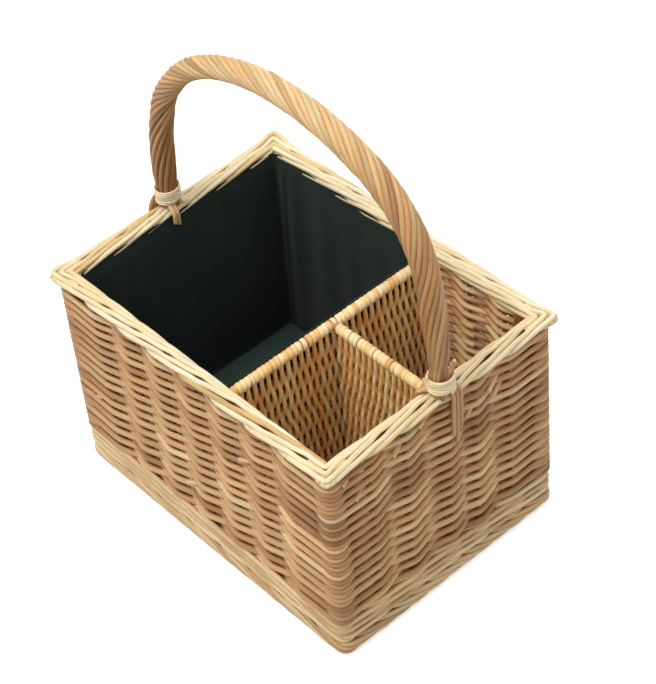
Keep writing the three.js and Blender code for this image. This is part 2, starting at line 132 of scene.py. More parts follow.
def through(controls, steps=10):
    """A smooth curve through control points of any dimension."""
    p = np.asarray(controls, float)
    p = np.concatenate([2 * p[:1] - p[1:2], p, 2 * p[-1:] - p[-2:-1]])
    t = np.linspace(0, 1, steps, endpoint=False)[:, None]
    parts = []
    for a, b, c, d in zip(p[:-3], p[1:-2], p[2:-1], p[3:]):
        parts.append(0.5 * (2 * b + (c - a) * t + (2 * a - 5 * b + 4 * c - d) * t**2
                            + (3 * b - a - 3 * c + d) * t**3))
    return np.concatenate(parts + [p[-2:-1]])


def waves(count, low, high, size):
    """A smooth random function of one cyclic value from 0 to 1, and a slow second value."""
    turns = seed.integers(low, high, count)
    phases = seed.uniform(0, 2 * math.pi, count)
    drift = seed.normal(0, 0.012, count)
    sizes = seed.uniform(0.4, 1, count) * size / math.sqrt(count)

    def value(share, other=0.0):
        total = 0.0
        for n, phase, rate, amount in zip(turns, phases, drift, sizes):
            total = total + amount * np.sin(2 * math.pi * n * share + phase + rate * other)
        return total

    return value


# The line that rods follow round the basket, counter-clockwise from the front left corner

CORNER_SIGNS = np.array([(-1, -1), (1, -1), (1, 1), (-1, 1)])
AHEAD = np.array([(1, 0), (0, 1), (-1, 0), (0, -1)], float)
OUTWARD = np.array([(0, -1), (1, 0), (0, 1), (-1, 0)], float)


class Loop:
    """A rectangle with round corners, given by where the corners turn and by their radius."""

    def __init__(self, half_x, half_y, turn_r):
        self.half, self.turn_r = np.array([half_x, half_y]), turn_r
        self.turn = math.pi / 2 * turn_r
        self.edges = np.concatenate([[0], np.cumsum([2 * half_x, self.turn, 2 * half_y, self.turn] * 2)])
        self.length = self.edges[-1]
        self.corners = self.edges[1::2] + self.turn / 2
        self.starts = CORNER_SIGNS * self.half

    def at(self, run, out, z):
        """Points at the distance run along the line, moved outwards by out, at height z."""
        run, out, z = np.broadcast_arrays(np.asarray(run, float) % self.length, out, z)
        part = np.clip(np.searchsorted(self.edges, run, side="right") - 1, 0, 7)
        t = run - self.edges[part]
        leg = part // 2
        reach = (self.turn_r + out)[:, None]
        flat = self.starts[leg] + AHEAD[leg] * t[:, None] + OUTWARD[leg] * reach
        angle = leg * math.pi / 2 - math.pi / 2 + t / self.turn_r
        turned = self.starts[(leg + 1) % 4] + np.stack([np.cos(angle), np.sin(angle)], 1) * reach
        xy = np.where((part % 2 == 0)[:, None], flat, turned)
        return np.column_stack([np.clip(xy, -(self.half + reach), self.half + reach), z])


WEAVE = Loop(POST_X, POST_Y, TURN_R)
EDGES, ROUND, POST_RUNS, loop = WEAVE.edges, WEAVE.length, WEAVE.corners, WEAVE.at


def side_run(side, place_along):
    """The distance along the weave line of a place on one side, given by its X or Y."""
    k = SIDES.index(side)
    return EDGES[2 * k] + (POST_X, POST_Y)[k % 2] + place_along * (1 if k < 2 else -1)


STAKES = {f"stake_{side}_{i + 1}": side for side, count in zip(SIDES, STAKE_COUNTS) for i in range(count)}
STAKE_RUNS = np.sort([side_run(side, middle(name)[SIDES.index(side) % 2]) for name, side in STAKES.items()])
STATIONS = np.sort(np.concatenate([STAKE_RUNS, POST_RUNS]))
AT_POST = np.isin(STATIONS, POST_RUNS)
COUNT = len(STATIONS)


def station_run(u):
    """The distance along the loop of station number u, which may lie between stations."""
    u = np.asarray(u, float)
    k = np.floor(u).astype(int)
    low = STATIONS[k % COUNT] + ROUND * (k // COUNT)
    high = STATIONS[(k + 1) % COUNT] + ROUND * ((k + 1) // COUNT)
    return low + (high - low) * (u - k)


def corner_share(run, width):
    """How near the distance along the loop is to a corner: 1 at its post and 0 far from it."""
    gap = (run[:, None] - POST_RUNS + ROUND / 2) % ROUND - ROUND / 2
    return np.exp(-(gap / width) ** 2).max(axis=1)


def ease(t):
    """0 up to t = 0, 1 from t = 1, and smooth in between."""
    t = np.clip(t, 0, 1)
    return t * t * (3 - 2 * t)


# Rods

ROD_SIDES = 8
# Ends, as shares of the radius: how far and how wide the chamfer is, and how far the tip stands out
CHAMFER_REACH, CHAMFER_WIDTH, TIP_OUT = 0.22, 0.8, 0.05
CHAMFER_ON_MAP, TIP_ON_MAP = 0.3, 0.8
SHARP_FROM = math.radians(52)
# The map for a bake: its spare area, and the height of a shelf over its tallest strip
MAP_SPARE, SHELF_GAP = 1.25, 1.12
HOOP_POINTS, HOOP_SPACING = 320, 5.0
# The corners of a face between two rows of points: which row and which place in it
QUAD = ((0, 0), (0, 1), (1, 1), (1, 0))


class Rods:
    """Gathers round rods into one mesh, each a closed tube with chamfered ends."""

    def __init__(self):
        self.points, self.quads, self.threes = [], [], []
        self.tone, self.cut, self.own = [], [], []
        self.uv_quads, self.uv_threes, self.strips = [], [], []
        self.total = 0

    def grow(self, path, radii, amount, light, spread=0.16, **shape):
        """A rod that goes from the first of radii to the last, with the swellings of a grown shoot."""
        radii = np.ravel(radii)
        radius = uneven(np.linspace(radii[0], radii[-1], len(path)), len(path), amount)
        self.add(path, radius, tone(light, spread), **shape)

    def hoop(self, out, height, radius, light, spread):
        """A plain rod that runs once round the basket."""
        run = np.linspace(0, ROUND, HOOP_POINTS)
        self.add(even(loop(run, out, height), HOOP_SPACING), radius, tone(light, spread))

    def add(self, path, radius, tone, sides=ROD_SIDES, flat=1.0, outwards=None):
        """A rod along path. flat is its thickness over its width, and outwards the way it is thin."""
        path = drop_repeats(np.asarray(path, float))
        n = len(path)
        ahead = unit(np.gradient(path, axis=0))
        radius = resampled(radius, n)
        if outwards is None:
            current = np.array([0.0, 0.0, 1.0]) if abs(ahead[0, 2]) < 0.9 else np.array([1.0, 0.0, 0.0])
            normal = np.empty_like(path)
            for i in range(n):
                current = current - np.dot(current, ahead[i]) * ahead[i]
                current = current / np.linalg.norm(current)
                normal[i] = current
        else:
            normal = unit(outwards - np.sum(outwards * ahead, axis=1)[:, None] * ahead)
        across = np.cross(ahead, normal)
        along = arc_lengths(path)
        # Rings: a chamfer ring at each end, and the rod's own between them
        centre, size, normal, across, at = map(with_ends, (path, radius, normal, across, along))
        centre[0] -= ahead[0] * radius[0] * CHAMFER_REACH
        centre[-1] += ahead[-1] * radius[-1] * CHAMFER_REACH
        size[[0, -1]] *= CHAMFER_WIDTH
        at[0] -= CHAMFER_ON_MAP * radius[0]
        at[-1] += CHAMFER_ON_MAP * radius[-1]
        angle = np.arange(sides) * 2 * math.pi / sides
        ring = (np.cos(angle)[None, :, None] * normal[:, None, :] * flat
                + np.sin(angle)[None, :, None] * across[:, None, :])
        rings = centre[:, None, :] + ring * size[:, None, None]
        tips = np.stack([centre[0] - ahead[0] * radius[0] * TIP_OUT,
                         centre[-1] + ahead[-1] * radius[-1] * TIP_OUT])
        self.points += [rings.reshape(-1, 3), tips]
        count, base = len(centre), self.total
        i, j = np.indices((count - 1, sides)).reshape(2, -1)
        self.quads.append(base + columns(*((i + a) * sides + (j + b) % sides for a, b in QUAD)))
        step = 2 * math.pi * radius.mean() / sides
        self.uv_quads.append(np.stack([columns(at[i + a], (j + b) * step) for a, b in QUAD], axis=1))
        j = np.arange(sides)
        k = (j + 1) % sides
        tip = base + count * sides
        last = tip - sides
        self.threes.append(np.concatenate([columns(tip, base + k, base + j),
                                           columns(tip + 1, last + j, last + k)]))
        low, high = at[0] - TIP_ON_MAP * radius[0], at[-1] + TIP_ON_MAP * radius[-1]
        near, half, far = j * step, (j + 0.5) * step, (j + 1) * step
        self.uv_threes.append(np.concatenate([
            np.stack([columns(low, half), columns(at[0], far), columns(at[0], near)], axis=1),
            np.stack([columns(high, half), columns(at[-1], near), columns(at[-1], far)], axis=1)]))
        self.strips.append((low, high, sides * step))
        cut = np.zeros(count * sides + 2)
        cut[:sides] = cut[-sides - 2:] = 1
        self.cut.append(cut)
        tones = resampled(tone, count)
        self.tone.append(np.concatenate([np.repeat(tones, sides), tones[[0, -1]]]))
        self.own.append(np.full(count * sides + 2, seed.random()))
        self.total += count * sides + 2

    def packed(self):
        """Where each rod's strip lies on a square map, so that a bake has room for all of them."""
        area = sum((high - low) * tall for low, high, tall in self.strips) * MAP_SPARE
        width = max(math.sqrt(area), max(high - low for low, high, _ in self.strips) * 1.02)
        x = y = shelf = 0.0
        places = []
        for low, high, tall in self.strips:
            if x + high - low > width:
                x, y, shelf = 0.0, y + shelf * SHELF_GAP, 0.0
            places.append((x - low, y))
            x += (high - low) * 1.01
            shelf = max(shelf, tall)
        return places, width, y + shelf * SHELF_GAP

    def build(self, name, material, nodes, slot):
        """The mesh object, riding on the body, with its maps and its tones."""
        quads, threes = np.concatenate(self.quads), np.concatenate(self.threes)
        mesh = bpy.data.meshes.new(name)
        mesh.from_pydata((np.concatenate(self.points) * MM).tolist(), [], quads.tolist() + threes.tolist())
        places, width, height = self.packed()
        grain, baked = [[], []], [[], []]
        for place_at, *both in zip(places, self.uv_quads, self.uv_threes):
            slide = seed.uniform(0, 40000)
            for kind, corners in enumerate(both):
                corners = corners.reshape(-1, 2)
                grain[kind].append(corners + [slide, 0])
                baked[kind].append((corners + place_at) / [width, height])
        for title, data, scale in (("OFBake", baked, 1.0), ("rod", grain, MM)):
            layer = mesh.uv_layers.new(name=title)
            flat = np.concatenate([np.concatenate(data[0]), np.concatenate(data[1])]) * scale
            layer.uv.foreach_set("vector", flat.astype(np.float32).ravel())
        for title, values in (("tone", self.tone), ("cut", self.cut), ("own", self.own)):
            attribute = mesh.attributes.new(title, "FLOAT", "POINT")
            attribute.data.foreach_set("value", np.concatenate(values).astype(np.float32))
        mesh.shade_smooth()
        mesh.set_sharp_from_angle(angle=SHARP_FROM)
        return place(name, mesh, material, nodes)


def in_scene(name, data):
    made = bpy.data.objects.new(name, data)
    bpy.context.scene.collection.objects.link(made)
    return made


def place(name, mesh, material, nodes):
    """Puts a piece on the body, in the place of the frame's nodes that it stands for, if any."""
    piece = in_scene(name, mesh)
    mesh.materials.append(material)
    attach(piece, BODY)
    if nodes:
        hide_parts(*nodes)
    return piece


def tone(mean, spread=0.16):
    """How light a rod is, from 0 to 1."""
    return float(np.clip(seed.normal(mean, spread), 0, 1))


def uneven(radius, n, amount):
    """A rod's radius at n places, with the swellings of a grown shoot."""
    return np.ravel(radius) * resampled(seed.normal(1, amount, max(4, n // 5)), n)


# Materials

def linear(value):
    """A colour as written in sRGB, as the renderer wants it."""
    parts = [int(value[i:i + 2], 16) / 255 for i in (0, 2, 4)]
    return [p / 12.92 if p <= 0.04045 else ((p + 0.055) / 1.055) ** 2.4 for p in parts] + [1.0]


class Graph:
    """Short names for making the shader nodes of a material or a world."""

    def __init__(self, owner, output="OutputMaterial"):
        owner.use_nodes = True
        self.owner, self.tree = owner, owner.node_tree
        self.tree.nodes.clear()
        self.output = self.make(output, {})

    def make(self, kind, inputs, **settings):
        """A new node with its settings, and its inputs by name or number: values or other nodes' outputs."""
        made = self.tree.nodes.new("ShaderNode" + kind)
        for key, value in settings.items():
            setattr(made, key, value)
        for key, value in inputs.items():
            if isinstance(value, bpy.types.NodeSocket):
                self.tree.links.new(value, made.inputs[key])
            else:
                made.inputs[key].default_value = value
        return made

    def math(self, operation, a, b=0.0):
        return self.make("Math", {0: a, 1: b}, operation=operation).outputs[0]

    def plus(self, a, b):
        return self.math("ADD", a, b)

    def times(self, a, b):
        return self.math("MULTIPLY", a, b)

    def stretched(self, vector, scale, shift=None):
        """A vector times a scale, with a shift added."""
        made = self.make("VectorMath", {0: vector, 1: scale}, operation="MULTIPLY").outputs[0]
        if shift is None:
            return made
        return self.make("VectorMath", {0: made, 1: shift}, operation="ADD").outputs[0]

    def noise(self, vector, detail=2.0, rough=0.5):
        inputs = {"Vector": vector, "Scale": 1.0, "Detail": detail, "Roughness": rough}
        return self.make("TexNoise", inputs).outputs["Fac"]

    def between(self, value, low, high, to_low=0.0, to_high=1.0, kind="SMOOTHSTEP"):
        """A value carried from the range low to high over to the range to_low to to_high."""
        inputs = {"Value": value, "From Min": low, "From Max": high, "To Min": to_low, "To Max": to_high}
        return self.make("MapRange", inputs, interpolation_type=kind).outputs["Result"]

    def ramp(self, value, colours):
        made = self.make("ValToRGB", {"Fac": value})
        elements, colours = made.color_ramp.elements, colours.split()
        for i, colour in enumerate(colours):
            at = i / (len(colours) - 1)
            element = elements[i] if i < 2 else elements.new(at)
            element.position = at
            element.color = linear(colour)
        return made.outputs["Color"]

    def mix(self, share, a, b, blend="MIX"):
        inputs = {"Factor": share, "A": a, "B": b}
        return self.make("Mix", inputs, data_type="RGBA", blend_type=blend).outputs["Result"]

    def attribute(self, name):
        return self.make("Attribute", {}, attribute_name=name).outputs["Fac"]

    def bump(self, height, distance, strength):
        inputs = {"Height": height, "Distance": distance, "Strength": strength}
        return self.make("Bump", inputs).outputs["Normal"]

    def finish(self, colour, roughness, normal, **constants):
        inputs = {"Base Color": colour, "Roughness": roughness, "Normal": normal}
        inputs.update((key.replace("_", " "), value) for key, value in constants.items())
        return self.close(self.make("BsdfPrincipled", inputs))

    def close(self, shader):
        """Joins the last shader to the output."""
        self.tree.links.new(shader.outputs[0], self.output.inputs["Surface"])
        return self.owner

    def for_background(self, plain, seen):
        """The shader plain, but seen for the camera's rays and those of shiny and clear surfaces."""
        rays = self.make("LightPath", {}).outputs
        either = self.math("MAXIMUM", rays["Is Camera Ray"], rays["Is Glossy Ray"])
        share = self.math("MAXIMUM", either, rays["Is Transmission Ray"])
        return self.make("MixShader", {0: share, 1: plain.outputs[0], 2: seen.outputs[0]})


def willow(name, colours, scar="6b4423", cut="e6cfa4", streaks=0.3, buds=0.5, tint=0.3):
    """Willow shoots: a tone and tint for each rod, fine streaks, bud scars, specks and pale cut ends."""
    g = Graph(bpy.data.materials.new(name))
    uv = g.make("UVMap", {}, uv_map="rod").outputs["UV"]
    own = g.attribute("own")
    shift = g.make("CombineXYZ", {"Z": g.times(own, 61.0)}).outputs[0]
    fine = g.noise(g.stretched(uv, (26, 1500, 0), shift), detail=3.0, rough=0.6)
    blotch = g.noise(g.stretched(uv, (14, 90, 0), shift))
    speck = g.noise(g.stretched(uv, (330, 700, 0), shift), detail=1.0)
    patch = g.noise(g.stretched(uv, (11, 130, 0), shift), detail=1.0)
    level = g.plus(g.attribute("tone"), g.times(g.math("SUBTRACT", blotch, 0.5), 0.5))
    colour = g.ramp(level, colours)
    for low, high, tinge in ((0.72, 0.95, "ffc48c"), (0.3, 0.05, "cdd0c8")):
        colour = g.mix(g.times(g.between(own, low, high), tint), colour, linear(tinge), "MULTIPLY")
    dark = g.between(fine, 0.38, 0.68, 1.0, 1.0 - streaks)
    powers = (("Red", 0.8), ("Green", 1.0), ("Blue", 1.25))
    grey = g.make("CombineColor", {key: g.math("POWER", dark, power) for key, power in powers})
    colour = g.mix(1.0, colour, grey.outputs[0], "MULTIPLY")
    # Bud scars: short dark arcs at uneven distances along the rod
    along = g.make("SeparateXYZ", {0: uv}).outputs["X"]
    step = g.math("FRACT", g.plus(g.times(along, 11.0), g.times(blotch, 0.35)))
    ring = g.between(g.math("ABSOLUTE", g.math("SUBTRACT", step, 0.5)), 0.008, 0.022, 1.0, 0.0)
    bud = g.times(g.times(ring, g.between(patch, 0.54, 0.66)), buds)
    marks = g.math("MAXIMUM", bud, g.between(speck, 0.7, 0.78, 0.0, 0.4))
    colour = g.mix(marks, colour, linear(scar))
    colour = g.mix(g.attribute("cut"), colour, linear(cut))
    normal = g.bump(g.plus(g.times(fine, 0.6), bud), 0.00035, 0.8)
    rough = g.between(fine, 0.2, 0.8, 0.42, 0.62, "LINEAR")
    return g.finish(colour, rough, normal, Specular_IOR_Level=0.45)


# Painted highlight: the rim's willow is paler than the walls' to stand for the strong light on the basket's
# top.
PAINTED_LIT_RIM_WILLOW = willow("rim willow painted highlight", "d2aa66 efd9a4 f9eac4 fcf2d4", scar="9a6f3a", streaks=0.34, buds=0.3,
                    tint=0.0)
# Painted highlight: the bands over the rails are given pale willow for the light that falls on the rails'
# tops.
RAIL_WILLOW_PAINTED_HIGHLIGHT = willow("rail willow painted highlight", "d09a50 eec27a fada9c fdeabc", scar="9a6f3a", buds=0.2, tint=0.15)
FOOT_WILLOW = willow("foot willow", "a48260 cdab7c e6ca9c f2dfb8", scar="7a5228", buds=0.2)
WALL_WILLOW = willow("wall willow", "946b43 c4976a e1bb8a f0d7ab", scar="5d3a1c", buds=0.1, tint=0.24)
# Partly painted light: the dividers' orange is their own, and their colours are painted lighter for light
# that reaches down into the cells.
DIVIDER_WILLOW_PAINTED_LIGHTER = willow("divider willow painted lighter", "cd8f50 f2b366 fcd088 fee2a6", scar="5d3a1c", buds=0.2)
UPRIGHT_WILLOW = willow("upright willow", "6e4c2a 94693d ad8250 c39a68", scar="4a2d15")
HANDLE_WILLOW = willow("handle willow", "8e6238 bf9060 e4c08a fbe6ba", buds=0.3)
CANE = willow("binding cane", "d8bc90 efd6a8 f8e4bc fdf0d2", scar="8a6334", streaks=0.22)


# Uprights

# Stakes beside a post: how far past the corner's turn, how far outside the weave line, and their radius
BESIDE_POST, BESIDE_POST_OUT, BESIDE_POST_R = (7.5, 13.2, 18.9, 24.6), -11.2, 2.7


def upright(name, points):
    x, y, _ = middle(name)
    return np.linspace((x, y, UPRIGHT_LOW), (x, y, UPRIGHT_HIGH), points)


def make_uprights():
    for name in STAKES:
        rods = Rods()
        rods.grow(upright(name, 24), STAKE_R, 0.02, 0.5, sides=10)
        rods.build(name + "_rod", UPRIGHT_WILLOW, [name], "upright_willow")
    for corner, k in CORNERS.items():
        rods = Rods()
        name = "corner_post_" + corner
        rods.grow(upright(name, 30), POST_R, 0.015, 0.45, sides=16)
        for gap in BESIDE_POST:
            for ahead in (-1, 1):
                run = POST_RUNS[k] + ahead * (WEAVE.turn / 2 + gap)
                path = loop(run, BESIDE_POST_OUT, np.linspace(UPRIGHT_LOW, UPRIGHT_HIGH, 24))
                rods.grow(path, BESIDE_POST_R, 0.02, 0.5)
        rods.build(name + "_rod", UPRIGHT_WILLOW, [name], "upright_willow")


# Wall weave: over one, under one, with every course outside the corner posts

COURSES, FIRST_COURSE, LAST_COURSE = 32, 49.0, 239.6
LAY_SPREAD = 1.1
# Shoots: their length, the least that is left for the last, and how far two of them overlap
SHOOT_LENGTHS, LEAST_LEFT, OVERLAP = (420, 700), 260, 10
# Their ends: how long they ease, how far apart they lie, and how far butt and tip lie inwards
END_EASE, END_LIFT, BUTT_IN, TIP_IN = 22, 0.7, 1.9, 0.4
THIN_AT_STAKES, FULL_AT_CROSSINGS = 0.458, 0.515
CORNER_REACH = 26.0
# Painted light and shade: the insides of the courses are painted lighter, and the courses near the corner
# posts painted darker.
INSIDE_PAINTED_LIGHT, CORNERS_PAINTED_SHADE = 0.3, 0.2


def lay(sign):
    """How far a course lies outside the weave line at each upright. Below 0 is inwards."""
    runs, outs = [], []
    for i, run in enumerate(STAKE_RUNS):
        runs.append(run)
        outs.append(LAY_SPREAD if (i % 2 == 0) == sign else -2 * LAY_OUT - LAY_SPREAD)
    for run in POST_RUNS:
        for side in (-1, 1):
            runs.append(run + side * WEAVE.turn / 2)
            outs.append(0.0)
    order = np.argsort(runs)
    return np.array(runs)[order], np.array(outs)[order]


def course_out(run, runs, outs):
    """How far a course lies outside the weave line at run."""
    run = run % ROUND
    runs = np.concatenate([runs[-1:] - ROUND, runs, runs[:1] + ROUND])
    outs = np.concatenate([outs[-1:], outs, outs[:1]])
    return stepped(run, runs, outs, lambda t: np.clip((t - 0.04) / 0.92, 0, 1))


# Rods that start on the outside with a pale cut end: for each side, place along it and height
CUT_ENDS = {"right": ((-125, 235), (-112, 206), (-64, 226), (-31, 238), (57, 220), (62, 210), (27, 208)),
            "front": ((-158, 112), (71, 190), (-22, 88)), "back": ((116, 214), (-67, 150)),
            "left": ((61, 224), (-102, 171))}


def make_walls():
    rods = Rods()
    shared = waves(6, 3, 12, 0.7)
    pitch = np.linspace(1.1, 0.9, COURSES - 1)
    rise = np.concatenate([[0], np.cumsum(pitch)])
    heights = FIRST_COURSE + (LAST_COURSE - FIRST_COURSE) * rise / pitch.sum()
    for c, height in enumerate(heights):
        own = waves(4, 8, 30, 0.22)
        runs, outs = lay(c % 2 == 0)
        near = (heights[min(c + 1, COURSES - 1)] - heights[max(c - 1, 0)]) / 2
        if c in (0, COURSES - 1):
            near *= 2
        inside = [run for run, out in zip(runs, outs) if out < 0]
        breaks = [inside[int(seed.integers(len(inside)))]]
        while True:
            target = breaks[-1] + seed.uniform(*SHOOT_LENGTHS)
            options = [run + k * ROUND for k in range(3) for run in inside]
            chosen = min(options, key=lambda run: abs(run - target))
            if chosen > breaks[0] + ROUND - LEAST_LEFT:
                break
            breaks.append(chosen)
        breaks.append(breaks[0] + ROUND)
        middle_tone = tone(0.5, 0.1)
        for a, b in zip(breaks[:-1], breaks[1:]):
            run = np.arange(a - OVERLAP, b + OVERLAP, 1.5)
            out = course_out(run, runs, outs)
            z = height + shared(run / ROUND, height) + own(run / ROUND)
            start = 1 - ease((run - a + OVERLAP) / END_EASE)
            end = ease((run - b + END_EASE - OVERLAP) / END_EASE)
            z = z - END_LIFT * start + END_LIFT * end
            bare = loop(run, out, z)[:, 0] > RAIL_X
            out = out - (BUTT_IN * start + TIP_IN * end) * bare
            crossing = np.clip(1 - np.abs(out + LAY_OUT) / (LAY_OUT + LAY_SPREAD), 0, 1)
            crossing = np.maximum(crossing, 0.8 * corner_share(run, CORNER_REACH)) ** 0.6
            thick = (THIN_AT_STAKES + (FULL_AT_CROSSINGS - THIN_AT_STAKES) * crossing) * near
            # Painted light and shade: lighter where a course runs on the inside, darker near the corners.
            wall_painted_light = (INSIDE_PAINTED_LIGHT * np.clip(-out / LAY_OUT - 1, 0, 1)
                     - CORNERS_PAINTED_SHADE * corner_share(run, CORNER_REACH))
            line = even(np.column_stack([loop(run, out, z), thick, wall_painted_light]), 3.8, 1)
            path, thick, wall_painted_light = line[:, :3], line[:, 3], line[:, 4]
            n = len(path)
            radius = np.linspace(1.04, 0.95, n) * thick * uneven(1.0, n, 0.025)
            rods.add(path, radius, tone(middle_tone, 0.17) + wall_painted_light)
    run, out = np.array([0, 6, 16, 26]), np.array([3.0, 0.2, -5.0, -8.0])
    for side, ends in CUT_ENDS.items():
        for place_along, height in ends:
            path = loop(side_run(side, place_along) + run, out, height + 0.1 * run)
            rods.add(even(path, 3.0), 2.3, tone(0.7, 0.1))
    walls = [f"wall_weave_{side}" for side in SIDES]
    rods.build("wall_weave_rods", WALL_WILLOW, walls, "wall_willow")


# Foot: a border of turned stake ends below three rounds of wale, each laid by three rods

# A turned end: place in stations along the foot, place outwards and height
FOOT_TURN = np.array([(0, 0, 25), (0.22, 2.6, 21.0), (0.5, 5.4, 16.2), (1.0, 6.2, 10.7),
                      (1.5, 5.6, 5.6), (2.0, 2.2, 3.0), (2.5, -2.6, 2.9), (3.0, -6.8, 5.0)])
FOOT_LOWEST = 2.8
# Hoops behind the turned ends: their heights, and how far they lie inside the stakes' middles
HOOP_HEIGHTS, HOOP_IN = (6.4, 11.8, 17.2), 0.6
# A wale rod goes behind one upright and before two. Its places outwards and heights at those three.
WALE_ROUNDS, WALE_HEIGHTS = (19.5, 28.6, 37.7), (5.2, 7.5, 2.6)
WALE_OUT, BEHIND_STAKE, BEHIND_A_POST = 5.6, -4.6, -8.8


def make_foot():
    turned = Rods()
    for k in np.arange(0, COUNT, 0.5):
        u, out, z = through(FOOT_TURN + columns(0, seed.normal(0, 0.2, len(FOOT_TURN)), 0)).T
        path = loop(station_run(k + u), out - LAY_OUT, np.maximum(z, FOOT_LOWEST))
        turned.grow(even(path, 3.2, 3), (2.65, 2.5), 0.02, 0.52)
    for height in HOOP_HEIGHTS:
        turned.hoop(-LAY_OUT - HOOP_IN, height, 2.7, 0.35, 0.05)
    wale = Rods()
    for round_low in WALE_ROUNDS:
        length = 3 * COUNT
        marks = [0]
        while marks[-1] < length - 18:
            marks.append(marks[-1] + 3 * int(seed.integers(3, 5)))
        marks.append(length)
        for a, b in zip(marks[:-1], marks[1:]):
            points = []
            for k in range(a, b + 1):
                phase = k % 3
                behind = BEHIND_A_POST if AT_POST[k % COUNT] else BEHIND_STAKE
                out = (behind, WALE_OUT, WALE_OUT)[phase] + seed.normal(0, 0.15)
                points.append((k, out, round_low + WALE_HEIGHTS[phase]))
                if phase != 1 and k < b:
                    points.append((k + 0.5, 0.4, round_low + (8.4 if phase == 0 else 1.7)))
            points, over = with_ends(np.array(points)), (0.25, 0, 0.5)
            points[0] -= over
            points[-1] += over
            u, out, z = through(points, 8).T
            wale.grow(even(loop(station_run(u - 0.02), out - LAY_OUT, z), 4.0, 2), (2.85, 2.5), 0.03, 0.6)
    turned.build("foot_border_rods", FOOT_WILLOW, ["foot_wale"], "foot_willow")
    wale.build("foot_wale_rods", FOOT_WILLOW, ["foot_wale"], "foot_willow")


# Rim border: each stake end goes behind one, comes out under its neighbours and crosses back over them

# How square the corners are: 2 is round
MITRE = 14.0


def mitred(path):
    """The same line with its turns at the corners sharpened from round towards square."""
    post = WEAVE.half
    arm = np.abs(path[:, :2]) - post
    turning = np.all(arm > 0, axis=1)
    arm = np.clip(arm, 1e-6, None)
    stretch = np.linalg.norm(arm, axis=1) / np.sum(arm ** MITRE, axis=1) ** (1 / MITRE)
    sharp = np.sign(path[:, :2]) * (post + arm * stretch[:, None])
    path = path.copy()
    path[:, :2] = np.where(turning[:, None], sharp, path[:, :2])
    return path


# A stake's end in the border: place in stations along the rim, place inwards and height
RIM_TURN = np.array([(0, 0, 240), (0.25, 1.2, 244.6), (1.0, 5.2, 246.0), (1.4, 3.4, 246.2),
                     (1.75, -3.6, 246.6), (2.0, -7.8, 248.2), (2.3, -9.1, 250.9), (2.7, -8.5, 252.9),
                     (3.1, -6.6, 254.0), (3.7, -3.4, 254.8), (4.4, 0.3, 255.3), (5.1, 4.0, 255.1),
                     (5.6, 6.2, 254.2), (6.1, 6.9, 251.8), (6.6, 6.6, 248.4), (7.1, 6.2, 245.8)])
# Where it is pushed inwards over its neighbours: place in stations and how far
RIM_PUSHES, RIM_PUSH_WIDTH = ((3.4, -1.0), (4.4, 1.5), (5.3, 0.4)), 0.17
# At the corners the outer part of the border reaches further out and higher
TIP_REACH, TIP_LIFT, TIP_WIDTH = 2.4, 2.4, 13.0
# Rod ends crossing at the corners: place outside the weave line, and height
CORNER_ENDS = ((1.4, 252.0), (-4.2, 252.6))
CORNER_END_LENGTH, TIP_OVERHANG, CROSSING_LIFT = 20.0, 6.4, 0.8
# Dark rods that lie inside the border: place inwards and height
FOLLOWERS = ((1.2, 249.6), (-3.4, 250.0), (-6.0, 250.6))


def make_border():
    rods = Rods()
    for k in range(COUNT):
        u, v, z = through(RIM_TURN + columns(0, *seed.normal(0, 0.2, (len(RIM_TURN), 2)).T), 16).T
        for middle_at, push in RIM_PUSHES:
            v = v + push * np.exp(-((u - middle_at) / RIM_PUSH_WIDTH) ** 2)
        run = station_run(k + u)
        outer = corner_share(run, TIP_WIDTH) * np.clip((2 - v) / 10, 0, 1)
        path = mitred(loop(run, -v - LAY_OUT + TIP_REACH * outer, z + TIP_LIFT * outer))
        rods.grow(even(path, 2.4, 1), (2.65, 2.45), 0.02, 0.6, 0.2)
    for corner in WEAVE.starts:
        out = np.sign(corner)
        for axis in (0, 1):
            for back, low in CORNER_ENDS:
                root, tip = np.tile(corner + out * (TURN_R + back), (2, 1))
                tip[axis] = corner[axis] + out[axis] * (TURN_R + TIP_OVERHANG)
                root[axis] = corner[axis] - out[axis] * CORNER_END_LENGTH
                top = low + CROSSING_LIFT * axis
                path = np.column_stack([np.linspace(root, tip, 3), (low, top, top - 0.6)])
                rods.add(even(path, 3.0), 2.4, tone(0.55, 0.15))
    borders = [f"border_{side}" for side in SIDES]
    rods.build("rim_border_rods", PAINTED_LIT_RIM_WILLOW, borders, "rim_willow")
    follower = Rods()
    for back, level in FOLLOWERS:
        follower.hoop(-LAY_OUT - back, level, 2.2, 0.02, 0.02)
    follower.build("rim_follower_rod", UPRIGHT_WILLOW, borders, "rim_willow")


# Dividers: upright weavers over rods that lie across, below a rail wrapped with flat bands

LANE_PITCH, LANE_OUT, LANE_R, LANE_FOOT = 4.1, 2.9, 2.15, 15.9
CROSS_LEVELS, CROSS_R = np.arange(27.0, 232.0, 20.2), 1.8
ENDS_IN = 3.0
RAIL_R, RAIL_BELOW = 3.9, 3.0
# The flat bands: width, thickness, distance from the rail's middle, and the turn they cover in degrees
BAND_WIDTHS, BAND_THICK, BAND_AROUND, BAND_TURN = (4.6, 6.4), 2.3, (4.4, 4.8), (-68, 248)


